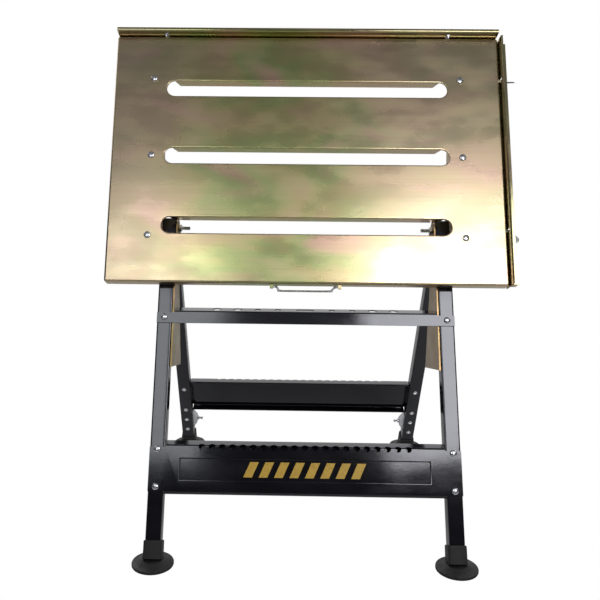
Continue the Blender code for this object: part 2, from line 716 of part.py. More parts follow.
def make_member_bolts(name, frame, steel, ground, face, heights):
    seat = face * (LEG_SIDE / 2 + GAP + MEMBER_SHEET + GAP)
    length = MEMBER_SHEET + LEG_WALL + 2 * GAP
    for height, level in heights:
        for word, side in SIDES:
            place = (side * LEG_X, ground + height)
            bm = pan_bolt(face, seat, 0.0060, 0.0035, BOLT_SHANK, length, place, "Y")
            label = f"{name}_{level}_{word}" if level else f"{name}_{word}"
            add_solid(label, bm, steel, frame)


def make_tool_rail(frame, black, ground, lean):
    """The upper cross member of the front legs: a face and a level shelf with holes for tools."""
    near = -(LEG_SIDE / 2 + GAP + MEMBER_SHEET / 2)
    low = ground + TOOL_RAIL_MID - TOOL_RAIL_HEIGHT / 2
    high = ground + TOOL_RAIL_MID + TOOL_RAIL_HEIGHT / 2
    back = (near + TOOL_RAIL_SHELF * math.cos(lean), high + TOOL_RAIL_SHELF * math.sin(lean))
    clear = PLATE_X - PLATE_SHEET / 2 - 0.001
    outline = sheet_outline(((near, low), (near, high), back), MEMBER_SHEET, 0.0030)
    rail = add_solid("tool_rail", prism(outline, -clear, clear, "X"), black, frame)
    ends = bmesh.new()
    for side in (-1, 1):
        reach = sorted((side * (clear - 0.020), side * (LEG_X + LEG_SIDE / 2)))
        block((reach[0], near - MEMBER_SHEET / 2, low + 0.0003),
              (reach[1], near + MEMBER_SHEET / 2, high - 0.0030), ends)
    unite(rail, ends)
    holes = bmesh.new()
    middle = TOOL_RAIL_SHELF * 0.55
    for x, radius in TOOL_HOLES:
        for side in (-1, 1):
            rod(radius, -0.008, 0.008, 16, "Z", (side * x, middle), holes)
    slot = stadium((0.0, middle), TOOL_SLOT[0] / 2, TOOL_SLOT[1] / 2, 6)
    prism(slot, -0.008, 0.008, "Z", holes)
    bmesh.ops.rotate(holes, verts=holes.verts, matrix=Matrix.Rotation(lean, 3, "X"))
    bmesh.ops.translate(holes, verts=holes.verts, vec=(0.0, near, high))
    for side in (-1, 1):
        place = (side * LEG_X, ground + TOOL_RAIL_MID)
        rod(BOLT_HOLE, near - 0.005, near + 0.005, 12, "Y", place, holes)
    cut(rail, holes)
    return rail


def make_legs(pair, frame, materials, ground, lean, face, member_bolts, top_radius):
    lock = LEG_LOCK_HEIGHT[pair]
    for word, side in SIDES:
        label = f"{pair}_{word}"
        make_outer_leg(f"outer_leg_{label}", side, frame, materials["black"], ground, lock, face,
                       member_bolts, top_radius)
        make_inner_leg(f"inner_leg_{label}", side, frame, materials["black"], ground, lock)
        make_foot(f"foot_{label}", side, frame, materials["rubber"], ground, lean)
        make_lock_spring(f"lock_spring_{label}", side, frame, materials["steel"], ground, lock)
        make_lock_pin(f"lock_pin_{label}", side, frame, materials["steel"], ground, lock)
    shortened = STEP_BACK_CLEAR[pair]
    make_step(f"{pair}_step", frame, materials["black"], ground, face, abs(lean), shortened)
    heights = tuple(zip(STEP_BOLTS, ("low", "high")))
    make_member_bolts(f"{pair}_step_bolt", frame, materials["steel"], ground, face, heights)


# --- Side plates and the bolts on the tilt and fold axes. ---


def front_leg_y(z):
    return FRONT_GROUND_Y + (TILT_AXIS[0] - FRONT_GROUND_Y) * z / TILT_AXIS[1]


def side_plate_outline():
    """A plate that follows the front leg, with a sloping foot, an upright back and a wider head."""
    head_back = FOLD_AXIS[0] + 0.020
    front = -0.012
    return [(front_leg_y(PLATE_FRONT_LOW_Z) + front, PLATE_FRONT_LOW_Z), (PLATE_REAR_Y, PLATE_LOW_Z),
            (PLATE_REAR_Y, PLATE_HEAD_Z - 0.030), (head_back, PLATE_HEAD_Z + 0.002),
            (head_back, FOLD_AXIS[1] + 0.010), (0.014, TILT_AXIS[1] + 0.012),
            (0.006, TILT_AXIS[1] + 0.017), (-0.012, TILT_AXIS[1] + 0.014)]


def make_side_plate(name, side, stand, zinc, lock_place):
    outer = PLATE_X + PLATE_SHEET / 2
    inner = PLATE_X - PLATE_SHEET / 2
    reach = sorted((side * inner, side * outer))
    plate = add_solid(name, prism(side_plate_outline(), reach[0], reach[1], "X"), zinc, stand)
    far = sorted((side * (inner - 0.003), side * (outer + 0.003)))
    holes = rod(TILT_HOLE, far[0], far[1], 16, "X", TILT_AXIS)
    rod(FOLD_HOLE, far[0], far[1], 16, "X", FOLD_AXIS, holes)
    rod(TILT_LOCK_HOLE, far[0], far[1], 14, "X", lock_place, holes)
    rod(BOLT_HOLE, far[0], far[1], 12, "X", (front_leg_y(PLATE_BOLT_HEIGHT), PLATE_BOLT_HEIGHT), holes)
    cut(plate, holes)
    return plate


def make_tilt_bolt(name, side, stand, steel):
    """The bolt on the tilt axis: its head is outside the top's bracket and its end points inward."""
    head = BRACKET_WEB_X + BRACKET_SHEET + GAP
    nut = PLATE_X - PLATE_SHEET / 2 - GAP
    shape = [(head + 0.0055, 0.0), (head + 0.0055, 0.0070), (head, 0.0080), (head, 0.0045)]
    shape += [(nut, 0.0045), (nut, 0.0075), (nut - 0.0060, 0.0070), (nut - 0.0060, 0.0040)]
    shape += [(nut - 0.0215, 0.0040), (nut - 0.0220, 0.0030), (nut - 0.0220, 0.0)]
    profile = [(side * x, radius) for x, radius in shape]
    return add_solid(name, turned(profile, 14, "X"), steel, stand, (0.0, *TILT_AXIS))


def make_fold_bolt(name, side, stand, steel):
    """The bolt on the fold axis, through the side plate and the rear leg's top."""
    head = LEG_X + LEG_SIDE / 2 + GAP
    nut = PLATE_X - PLATE_SHEET / 2 - GAP
    shape = [(head + 0.0028, 0.0), (head + 0.0028, 0.0040), (head, 0.0070), (head, 0.0041)]
    shape += [(nut, 0.0041), (nut, 0.0070), (nut - 0.0055, 0.0062), (nut - 0.0055, 0.0)]
    profile = [(side * x, radius) for x, radius in shape]
    return add_solid(name, turned(profile, 14, "X"), steel, stand, (0.0, *FOLD_AXIS))


def make_plate_bolt(name, side, stand, steel):
    """The lower bolt of a side plate, screwed into the front leg's inner wall."""
    seat = PLATE_X - PLATE_SHEET / 2 - GAP
    place = (front_leg_y(PLATE_BOLT_HEIGHT), PLATE_BOLT_HEIGHT)
    length = LEG_X - LEG_SIDE / 2 + LEG_WALL - seat
    bm = pan_bolt(-side, side * seat, 0.0058, 0.0032, BOLT_SHANK, length, place, "X")
    return add_solid(name, bm, steel, stand)


def make_tilt_lock(name, side, frame, steel):
    """A sprung pull knob inside each front leg. Its pin runs through the leg to the top's quadrant."""
    tip = BRACKET_WEB_X - GAP
    collar = PLATE_X - PLATE_SHEET / 2 - GAP
    shape = [(tip, 0.0), (tip, 0.0040), (collar, 0.0040), (collar, 0.0085), (collar - 0.0040, 0.0085)]
    shape += [(collar - 0.0050, 0.0050), (collar - 0.0090, 0.0050), (collar - 0.0110, 0.0105)]
    shape += [(collar - 0.0190, 0.0110), (collar - 0.0210, 0.0090), (collar - 0.0210, 0.0)]
    profile = [(side * x, radius) for x, radius in shape]
    return add_solid(name, turned(profile, 14, "X", (0.0, -TILT_LOCK_RADIUS)), steel, frame)


def make_front_group(stand, materials):
    lean = math.atan2(TILT_AXIS[0] - FRONT_GROUND_Y, TILT_AXIS[1])
    ground = -math.hypot(TILT_AXIS[0] - FRONT_GROUND_Y, TILT_AXIS[1])
    frame = add_empty("front_leg_frame", stand, (0.0, *TILT_AXIS), -lean)
    bolts = STEP_BOLTS + (TOOL_RAIL_MID,)
    make_legs("front", frame, materials, ground, -lean, -1, bolts, TILT_HOLE)
    make_tool_rail(frame, materials["black"], ground, lean)
    make_member_bolts("tool_rail_bolt", frame, materials["steel"], ground, -1, ((TOOL_RAIL_MID, ""),))
    lock_place = (TILT_AXIS[0] - TILT_LOCK_RADIUS * math.sin(lean),
                  TILT_AXIS[1] - TILT_LOCK_RADIUS * math.cos(lean))
    for word, side in SIDES:
        leg = bpy.data.objects[f"outer_leg_front_{word}"]
        holes = rod(TILT_LOCK_HOLE, -0.020, 0.020, 14, "X", (0.0, -TILT_LOCK_RADIUS))
        plate_bolt = ground + math.hypot(PLATE_BOLT_HEIGHT, front_leg_y(PLATE_BOLT_HEIGHT) - FRONT_GROUND_Y)
        reach = sorted((-side * 0.010, -side * 0.018))
        rod(BOLT_HOLE, reach[0], reach[1], 10, "X", (0.0, plate_bolt), holes)
        cut(leg, holes)
        make_side_plate(f"side_plate_{word}", side, stand, materials["zinc"], lock_place)
        make_tilt_bolt(f"tilt_pivot_bolt_{word}", side, stand, materials["steel"])
        make_plate_bolt(f"side_plate_bolt_{word}", side, stand, materials["steel"])
        make_tilt_lock(f"tilt_lock_pin_{word}", side, frame, materials["steel"])


def make_rear_group(stand, materials):
    lean = math.atan2(REAR_GROUND_Y - FOLD_AXIS[0], FOLD_AXIS[1])
    ground = -math.hypot(REAR_GROUND_Y - FOLD_AXIS[0], FOLD_AXIS[1])
    frame = add_empty("rear_leg_frame", stand, (0.0, *FOLD_AXIS), lean)
    make_legs("rear", frame, materials, ground, lean, 1, STEP_BOLTS, FOLD_HOLE)
    for word, side in SIDES:
        make_fold_bolt(f"fold_bolt_{word}", side, stand, materials["steel"])


def main():
    clear_scene()
    materials = {
        "zinc": make_material("yellow_zinc", (0.50, 0.44, 0.27), 0.32, 0.85),
        "steel": make_material("bright_zinc", (0.62, 0.63, 0.65), 0.28, 0.95),
        "black": make_material("black_powder_coat", (0.018, 0.018, 0.022), 0.30, 0.0),
        "rubber": make_material("black_rubber", (0.020, 0.020, 0.021), 0.75, 0.0),
    }
    stand = add_empty("stand_frame", None, (ORIGIN_SHIFT_X, 0.0, 0.0))
    make_front_group(stand, materials)
    make_rear_group(stand, materials)
    make_top_group(stand, materials["zinc"], materials["steel"])


main()
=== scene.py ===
"""Looks of the folding welding table: finishes, fine fasteners and feet, soft light and the camera."""
import json
import math

import bmesh
import bpy
from mathutils import Matrix, Vector


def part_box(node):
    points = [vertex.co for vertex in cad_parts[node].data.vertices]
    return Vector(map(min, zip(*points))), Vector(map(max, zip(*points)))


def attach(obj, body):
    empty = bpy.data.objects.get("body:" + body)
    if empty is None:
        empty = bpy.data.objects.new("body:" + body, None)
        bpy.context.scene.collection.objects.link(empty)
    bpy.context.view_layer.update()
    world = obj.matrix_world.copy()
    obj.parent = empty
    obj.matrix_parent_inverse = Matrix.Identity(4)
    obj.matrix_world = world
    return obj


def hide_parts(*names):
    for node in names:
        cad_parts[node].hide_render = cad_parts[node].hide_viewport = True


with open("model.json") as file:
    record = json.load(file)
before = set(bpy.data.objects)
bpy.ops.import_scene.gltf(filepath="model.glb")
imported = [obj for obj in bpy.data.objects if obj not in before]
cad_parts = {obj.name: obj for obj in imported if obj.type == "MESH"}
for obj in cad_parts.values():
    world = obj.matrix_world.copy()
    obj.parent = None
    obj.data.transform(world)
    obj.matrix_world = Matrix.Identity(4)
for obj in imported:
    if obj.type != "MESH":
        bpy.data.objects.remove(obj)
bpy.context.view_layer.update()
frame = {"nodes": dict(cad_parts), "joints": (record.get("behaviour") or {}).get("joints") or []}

NODES = frame["nodes"]
JOINTS = {joint["name"]: joint for joint in frame["joints"]}
SIDES = (("left", -1), ("right", 1))
PAIRS = (("front", "stand"), ("rear", "rear_frame"))

# Directions of the table at rest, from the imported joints.
ACROSS = Vector((1.0, 0.0, 0.0))
TOP_NORMAL = Vector(JOINTS["rear_rail_slide"]["axis"]).normalized()
TOP_BACK = TOP_NORMAL.cross(ACROSS)
TOP_TILT = math.atan2(TOP_BACK.z, TOP_BACK.y)
LEG_DOWN = {pair: Vector(JOINTS[f"leg_{pair}_left_slide"]["axis"]).normalized() for pair, _ in PAIRS}
# The way the cross members face: forward on the front legs, backward on the rear ones.
MEMBER_OUT = {"front": LEG_DOWN["front"].cross(ACROSS), "rear": ACROSS.cross(LEG_DOWN["rear"])}

# The camera's place, and its turn about the vertical, its tip from looking straight down, and its roll.
CAMERA_PLACE = Vector((-0.0655, -1.4771, 0.7107))
CAMERA_TURN = math.radians(0.951)
CAMERA_TIP = math.radians(78.31)
CAMERA_ROLL = math.radians(0.51)
LIT_POINT = Vector((0.0, 0.0, 0.55))

# Bends and softened edges of the sheet metal.
SHEET_EDGE = 0.0004
STEP_EDGE = 0.0009
SLOT_BEND = 0.0028
PANEL_BEND = 0.0019
SMOOTH_BELOW = math.radians(32.0)
FACE_DEPTH = 0.0005

# Screws and bolts.
TOP_BOLT_HEAD = 0.0066
FRAME_BOLT_HEAD = 0.0060
PLATE_BOLT_HEAD = 0.0058
PAN_HEIGHT = 0.0030
PAN_SHANK = 0.0030
REAR_SCREW_PLACES = (0.0670, 0.1000, 0.1325, 0.1985)
THREAD_PITCH = 0.00125
THREAD_DEPTH = 0.00040

# The wing screws' wings: a stadium from the root to the tip, at a slope to the screw's axis.
WING_SLOPE = math.radians(45.0)
WING_LENGTH = 0.0208
WING_TIP_RADIUS = 0.0056
WING_ROOT_HALF = 0.0045
WING_HALF_THICKNESS = 0.0012

# The bars on the front step's panel, and the panel's depth below the step's face.
PANEL_DEPTH = 0.0020
BAR_COUNT = 8
BAR_PITCH = 0.0275
BAR_HALF_WIDTH = 0.0078
BAR_HALF_HEIGHT = 0.0135
BAR_SLANT = 0.0060

# The feet's boots.
BOOT_HALF = 0.0165
BOOT_CORNER = 0.0042
SOCKET_HALF = 0.0121


# --- Camera, light and floor. ---


def make_camera():
    """Just left of the middle, at chest height in front of the table, looking slightly down."""
    camera = bpy.data.cameras.new("view_camera")
    camera.lens = 45.05
    camera.sensor_width = 36.0
    camera.shift_x = 0.0570
    camera.shift_y = 0.0127
    camera.clip_start = 0.05
    view = bpy.data.objects.new("view_camera", camera)
    bpy.context.scene.collection.objects.link(view)
    turn = Matrix.Rotation(CAMERA_TURN, 4, "Z")
    tip = Matrix.Rotation(CAMERA_TIP, 4, "X")
    roll = Matrix.Rotation(CAMERA_ROLL, 4, "Z")
    view.matrix_world = Matrix.Translation(CAMERA_PLACE) @ turn @ tip @ roll
    bpy.context.scene.camera = view


def make_softbox(name, azimuth, elevation, distance, size, power, colour):
    """A soft rectangular light that faces the table. Azimuth 0 is straight in front, 90 to the right."""
    light = bpy.data.lights.new(name, "AREA")
    light.shape = "RECTANGLE"
    light.size = size[0]
    light.size_y = size[1]
    light.energy = power
    light.color = colour
    lamp = bpy.data.objects.new(name, light)
    bpy.context.scene.collection.objects.link(lamp)
    level = math.cos(math.radians(elevation))
    away = Vector((level * math.sin(math.radians(azimuth)), -level * math.cos(math.radians(azimuth)),
                   math.sin(math.radians(elevation))))
    lamp.location = LIT_POINT + away * distance
    lamp.rotation_euler = away.to_track_quat("Z", "Y").to_euler()


def make_world():
    """A dim studio with a soft band of light above the horizon and a white backdrop behind the table."""
    world = bpy.data.worlds.new("studio")
    bpy.context.scene.world = world
    world.use_nodes = True
    nodes = world.node_tree.nodes
    links = world.node_tree.links
    nodes.clear()
    where = nodes.new("ShaderNodeTexCoord")
    split = nodes.new("ShaderNodeSeparateXYZ")
    shade = nodes.new("ShaderNodeValToRGB")
    bands = ((0.00, 0.05), (0.52, 0.05), (0.66, 0.26), (0.74, 0.22), (0.84, 0.14), (1.00, 0.12))
    elements = shade.color_ramp.elements
    while len(elements) < len(bands):
        elements.new(0.5)
    for element, (height, level) in zip(elements, bands):
        element.position = height
        element.color = (level, level, level * 1.04, 1.0)
    behind = nodes.new("ShaderNodeMapRange")
    behind.interpolation_type = "SMOOTHSTEP"
    behind.inputs["From Min"].default_value = 0.60
    behind.inputs["From Max"].default_value = 0.85
    backdrop = nodes.new("ShaderNodeMix")
    backdrop.data_type = "RGBA"
    backdrop.inputs[7].default_value = (0.85, 0.85, 0.86, 1.0)
    studio = nodes.new("ShaderNodeBackground")
    white = nodes.new("ShaderNodeBackground")
    path = nodes.new("ShaderNodeLightPath")
    mix = nodes.new("ShaderNodeMixShader")
    out = nodes.new("ShaderNodeOutputWorld")
    links.new(where.outputs["Generated"], split.inputs[0])
    links.new(split.outputs["Z"], shade.inputs["Fac"])
    links.new(split.outputs["Y"], behind.inputs["Value"])
    links.new(behind.outputs["Result"], backdrop.inputs[0])
    links.new(shade.outputs["Color"], backdrop.inputs[6])
    links.new(backdrop.outputs[2], studio.inputs["Color"])
    links.new(path.outputs["Is Camera Ray"], mix.inputs["Fac"])
    links.new(studio.outputs[0], mix.inputs[1])
    links.new(white.outputs[0], mix.inputs[2])
    links.new(mix.outputs[0], out.inputs["Surface"])
    white.inputs["Color"].default_value = (1.0, 1.0, 1.0, 1.0)


def make_floor():
    """A pale floor. It looks as white as the room, so that a leg drawn out below it still shows."""
    bm = bmesh.new()
    bmesh.ops.create_grid(bm, x_segments=1, y_segments=1, size=12.0)
    mesh = bpy.data.meshes.new("floor")
    bm.to_mesh(mesh)
    bm.free()
    floor = bpy.data.objects.new("floor", mesh)
    bpy.context.scene.collection.objects.link(floor)
    floor.location.z = -0.0004
    material = bpy.data.materials.new("pale_floor")
    material.use_nodes = True
    nodes = material.node_tree.nodes
    links = material.node_tree.links
    nodes.remove(nodes["Principled BSDF"])
    seen = nodes.new("ShaderNodeBsdfTransparent")
    mirrored = nodes.new("ShaderNodeBsdfDiffuse")
    mirrored.inputs["Color"].default_value = (0.70, 0.70, 0.70, 1.0)
    path = nodes.new("ShaderNodeLightPath")
    mix = nodes.new("ShaderNodeMixShader")
    links.new(path.outputs["Is Camera Ray"], mix.inputs["Fac"])
    links.new(mirrored.outputs[0], mix.inputs[1])
    links.new(seen.outputs[0], mix.inputs[2])
    links.new(mix.outputs[0], nodes["Material Output"].inputs["Surface"])
    mesh.materials.append(material)


def make_lights():
    """Two softboxes in front, one at each side and three behind, all a little above the table."""
    make_softbox("softbox_right", 20.5, 29.5, 2.75, (0.80, 0.96), 18.5, (1.0, 0.98, 1.0))
    make_softbox("softbox_left", -17.5, 30.0, 2.75, (0.62, 1.00), 6.6, (0.98, 0.99, 1.0))
    make_softbox("softbox_side", 105.0, 30.0, 2.6, (0.9, 1.4), 8.0, (1.0, 1.0, 1.0))
    make_softbox("softbox_far_side", -110.0, 30.0, 2.6, (0.9, 1.4), 7.0, (1.0, 1.0, 1.0))
    make_softbox("softbox_back", 180.0, 42.0, 3.0, (1.6, 1.0), 9.0, (1.0, 1.0, 1.0))
    make_softbox("softbox_back_right", 142.0, 34.0, 3.0, (1.0, 1.3), 12.0, (1.0, 1.0, 1.0))
    make_softbox("softbox_back_left", -142.0, 34.0, 3.0, (1.0, 1.3), 12.0, (1.0, 1.0, 1.0))


# --- Finishes. Every texture is worked out in the table's own coordinates. ---


class Finish:
    """A material under construction: short calls that add one node each."""

    def __init__(self, name, slot):
        self.slot = slot
        self.material = bpy.data.materials.new(name)
        self.material.use_nodes = True
        self.nodes = self.material.node_tree.nodes
        self.links = self.material.node_tree.links
        self.surface = self.nodes["Principled BSDF"]

    def set(self, name, value):
        """Gives an input of the surface a value, or links a socket to it."""
        if isinstance(value, bpy.types.NodeSocket):
            self.links.new(value, self.surface.inputs[name])
        else:
            self.surface.inputs[name].default_value = value

    def place(self, scale, turn=0.0):
        """Object coordinates, turned about X so that Y runs along a tilted face, then stretched."""
        where = self.nodes.new("ShaderNodeTexCoord")
        turned = self.nodes.new("ShaderNodeMapping")
        turned.inputs["Rotation"].default_value = (turn, 0.0, 0.0)
        stretched = self.nodes.new("ShaderNodeMapping")
        stretched.inputs["Scale"].default_value = scale
        self.links.new(where.outputs["Object"], turned.inputs["Vector"])
        self.links.new(turned.outputs["Vector"], stretched.inputs["Vector"])
        return stretched.outputs["Vector"]

    def noise(self, place, detail=2.0, roughness=0.5, distortion=0.0):
        noise = self.nodes.new("ShaderNodeTexNoise")
        noise.inputs["Scale"].default_value = 1.0
        noise.inputs["Detail"].default_value = detail
        noise.inputs["Roughness"].default_value = roughness
        noise.inputs["Distortion"].default_value = distortion
        self.links.new(place, noise.inputs["Vector"])
        return noise.outputs["Fac"]

    def ramp(self, value, stops):
        """Colours along a value. Each stop is (position, (r, g, b))."""
        ramp = self.nodes.new("ShaderNodeValToRGB")
        ramp.color_ramp.interpolation = "B_SPLINE"
        elements = ramp.color_ramp.elements
        while len(elements) < len(stops):
            elements.new(0.5)
        for element, (position, colour) in zip(elements, stops):
            element.position = position
            element.color = (*colour, 1.0)
        self.links.new(value, ramp.inputs["Fac"])
        return ramp.outputs["Color"]

    def spread(self, value, low, high, start=0.0, end=1.0):
        """The value between start and end, mapped onto low to high."""
        spread = self.nodes.new("ShaderNodeMapRange")
        spread.interpolation_type = "SMOOTHSTEP"
        spread.inputs["From Min"].default_value = start
        spread.inputs["From Max"].default_value = end
        spread.inputs["To Min"].default_value = low
        spread.inputs["To Max"].default_value = high
        self.links.new(value, spread.inputs["Value"])
        return spread.outputs["Result"]

    def blend(self, amount, first, second, kind="MIX"):
        """first and second mixed. Each is a socket or an (r, g, b) colour, and so may be the amount."""
        mix = self.nodes.new("ShaderNodeMix")
        mix.data_type = "RGBA"
        mix.blend_type = kind
        for socket, value in ((mix.inputs[0], amount), (mix.inputs[6], first), (mix.inputs[7], second)):
            if isinstance(value, bpy.types.NodeSocket):
                self.links.new(value, socket)
            elif isinstance(value, tuple):
                socket.default_value = (*value, 1.0)
            else:
                socket.default_value = value
        return mix.outputs[2]

    def axis(self, place, name):
        split = self.nodes.new("ShaderNodeSeparateXYZ")
        self.links.new(place, split.inputs[0])
        return split.outputs[name]

    def bump(self, height, strength, distance, below=None):
        bump = self.nodes.new("ShaderNodeBump")
        bump.inputs["Strength"].default_value = strength
        bump.inputs["Distance"].default_value = distance
        self.links.new(height, bump.inputs["Height"])
        if below is not None:
            self.links.new(below, bump.inputs["Normal"])
        return bump.outputs["Normal"]


def yellow_zinc(name, turn, painted_shade_tone=(1.0, 1.0, 1.0), roughness=0.26):
    """Yellow-chromate zinc: gold and olive with drifting green and pink, fine rolling lines, and a painted
    pink reflection towards both ends in X.
    """
    finish = Finish(name, "yellow_zinc")
    clouds = finish.noise(finish.place((4.6, 9.0, 9.0), turn), 2.0, 0.5, 0.6)
    tint = finish.ramp(clouds, (
        (0.28, (0.68, 0.45, 0.36)), (0.39, (0.58, 0.48, 0.26)), (0.48, (0.53, 0.50, 0.23)),
        (0.56, (0.38, 0.49, 0.20)), (0.64, (0.54, 0.48, 0.26)), (0.76, (0.66, 0.42, 0.34))))
    across = finish.axis(finish.place((1.0, 1.0, 1.0)), "X")
    # Painted reflection: a pinkish tint towards both ends in X, where the left and right softboxes reflect,
    # and none in the middle.
    painted_end_reflection = finish.ramp(finish.spread(across, 0.0, 1.0, -0.40, 0.37), (
        (0.0, (0.80, 0.80, 0.80)), (0.10, (0.25, 0.25, 0.25)), (0.22, (0.0, 0.0, 0.0)),
        (0.60, (0.0, 0.0, 0.0)), (0.82, (0.70, 0.70, 0.70)), (1.0, (0.55, 0.55, 0.55))))
    tint = finish.blend(painted_end_reflection, tint, (0.64, 0.48, 0.38))
    patches = finish.noise(finish.place((11.0, 22.0, 22.0), turn), 2.0, 0.5)
    tint = finish.blend(finish.spread(patches, 0.0, 0.40, 0.48, 0.70), tint, (0.60, 0.50, 0.31))
    lines = finish.noise(finish.place((2.4, 620.0, 620.0), turn), 3.0, 0.65)
    bands = finish.noise(finish.place((0.9, 64.0, 64.0), turn), 3.0, 0.6)
    rolled = finish.blend(0.45, lines, bands)
    shade = finish.ramp(rolled, ((0.35, (0.88, 0.87, 0.85)), (0.62, (1.0, 1.0, 1.0))))
    tint = finish.blend(1.0, tint, shade, "MULTIPLY")
    streaks = finish.noise(finish.place((3.1, 300.0, 300.0), turn), 1.0, 0.5)
    tint = finish.blend(finish.spread(streaks, 0.0, 0.45, 0.72, 0.80), tint, (0.20, 0.18, 0.12))
    # The tone multiplies the colour; where it is below white it is painted shade.
    finish.set("Base Color", finish.blend(1.0, tint, painted_shade_tone, "MULTIPLY"))
    finish.set("Metallic", 1.0)
    finish.set("Roughness", finish.spread(patches, roughness - 0.03, roughness + 0.06, 0.3, 0.7))
    grain = finish.bump(lines, 0.06, 0.0002)
    finish.set("Normal", finish.bump(bands, 0.04, 0.0008, grain))
    return finish


def bright_zinc(name, roughness=0.24):
    """Bright zinc plating, faintly mottled."""
    finish = Finish(name, "bright_zinc")
    spots = finish.noise(finish.place((260.0, 260.0, 260.0)), 3.0, 0.6)
    finish.set("Base Color", finish.ramp(spots, ((0.35, (0.62, 0.64, 0.68)), (0.65, (0.82, 0.83, 0.85)))))
    finish.set("Metallic", 1.0)
    finish.set("Roughness", finish.spread(spots, roughness - 0.05, roughness + 0.10, 0.3, 0.7))
    finish.set("Normal", finish.bump(spots, 0.12, 0.0002))
    return finish


def black_coat(name, roughness=0.10):
    """Powder coat: glossy black with the faint orange peel of the cured powder."""
    finish = Finish(name, "black_powder_coat")
    peel = finish.noise(finish.place((520.0, 520.0, 520.0)), 2.0, 0.5)
    waves = finish.noise(finish.place((38.0, 38.0, 38.0)), 2.0, 0.5)
    dust = finish.noise(finish.place((9.0, 9.0, 24.0)), 4.0, 0.6)
    shades = ((0.35, (0.004, 0.004, 0.006)), (0.70, (0.008, 0.008, 0.012)))
    finish.set("Base Color", finish.ramp(dust, shades))
    finish.set("Metallic", 0.0)
    finish.set("Roughness", finish.spread(dust, roughness - 0.02, roughness + 0.03, 0.3, 0.7))
    finish.set("Specular IOR Level", 0.70)
    finish.set("Specular Tint", (0.92, 0.94, 1.0, 1.0))
    finish.set("Normal", finish.bump(waves, 0.03, 0.0015, finish.bump(peel, 0.06, 0.0002)))
    return finish


def black_rubber(name):
    """Matt moulded rubber with a fine grain and a little dust."""
    finish = Finish(name, "black_rubber")
    grain = finish.noise(finish.place((700.0, 700.0, 700.0)), 3.0, 0.6)
    dust = finish.noise(finish.place((45.0, 45.0, 45.0)), 4.0, 0.6)
    shades = ((0.35, (0.010, 0.010, 0.011)), (0.75, (0.026, 0.024, 0.023)))
    finish.set("Base Color", finish.ramp(dust, shades))
    finish.set("Roughness", finish.spread(dust, 0.52, 0.72, 0.3, 0.7))
    finish.set("Normal", finish.bump(grain, 0.25, 0.0003))
    return finish


def yellow_paint(name):
    """Yellow paint, slightly worn, over the black coat."""
    finish = Finish(name, "black_powder_coat")
    wear = finish.noise(finish.place((160.0, 160.0, 160.0)), 4.0, 0.6)
    finish.set("Base Color", finish.ramp(wear, ((0.30, (0.62, 0.36, 0.03)), (0.60, (0.80, 0.52, 0.06)))))
    finish.set("Roughness", finish.spread(wear, 0.30, 0.45, 0.3, 0.7))
    return finish


# --- Shared shapes. ---


def turned(profile, segments):
    """A solid turned about Z. The profile's points are (height, radius) from the bottom to the top."""
    bm = bmesh.new()
    rings = []
    for height, radius in profile:
        count = segments if radius > 0.0 else 1
        angles = [2 * math.pi * i / segments for i in range(count)]
        rings.append([bm.verts.new((radius * math.cos(a), radius * math.sin(a), height)) for a in angles])
    for first, second in zip(rings, rings[1:]):
        for i in range(segments):
            j = (i + 1) % segments
            corners = (first[i % len(first)], first[j % len(first)],
                       second[j % len(second)], second[i % len(second)])
            bm.faces.new(tuple(dict.fromkeys(corners)))
    bmesh.ops.recalc_face_normals(bm, faces=bm.faces)
    return bm


def box_between(low, high):
    """A box between two corners."""
    bm = bmesh.new()
    bmesh.ops.create_cube(bm, size=1.0)
    size = Vector(high) - Vector(low)
    bmesh.ops.scale(bm, vec=size, verts=bm.verts)
    bmesh.ops.translate(bm, vec=(Vector(high) + Vector(low)) / 2, verts=bm.verts)
    return bm


def mesh_of(name, bm):
    """The mesh of a bmesh, which is freed."""
    mesh = bpy.data.meshes.new(name)
    bm.to_mesh(mesh)
    bm.free()
    return mesh


def combined(name, first, second, operation):
    """The mesh left by a Boolean between two meshes."""
    target = bpy.data.objects.new(name, first)
    tool = bpy.data.objects.new(name + "_tool", second)
    for item in (target, tool):
        bpy.context.scene.collection.objects.link(item)
    modifier = target.modifiers.new("combine", "BOOLEAN")
    modifier.operation = operation
    modifier.object = tool
    modifier.solver = "EXACT"
    result = bpy.data.meshes.new_from_object(target.evaluated_get(bpy.context.evaluated_depsgraph_get()))
    for item in (target, tool):
        bpy.data.objects.remove(item)
    result.name = name
    return result


def smoothed(mesh, below=SMOOTH_BELOW):
    """The mesh, shaded smooth wherever its faces meet at less than an angle."""
    mesh.shade_smooth()
    mesh.set_sharp_from_angle(angle=below)
    return mesh


def add_piece(name, mesh, place, finish, body, *nodes):
    """One visible piece on a body. place is its matrix; nodes are the CAD nodes it stands for."""
    piece = bpy.data.objects.new(name, mesh)
    bpy.context.scene.collection.objects.link(piece)
    piece.matrix_world = place
    if not mesh.materials:
        mesh.materials.append(finish.material)
    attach(piece, body)
    if nodes:
        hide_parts(*nodes)


def axis_frame(node, axis):
    """A CAD node's own turned axis: the matrix at its lowest end with Z along axis, and its length."""
    points = [vertex.co for vertex in NODES[node].data.vertices]
    middle = sum(points, Vector()) / len(points)
    heights = [point.dot(axis) for point in points]
    low = min(heights)
    foot = middle + axis * (low - middle.dot(axis))
    turn = axis.to_track_quat("Z", "Y").to_matrix().to_4x4()
    return Matrix.Translation(foot) @ turn, max(heights) - low


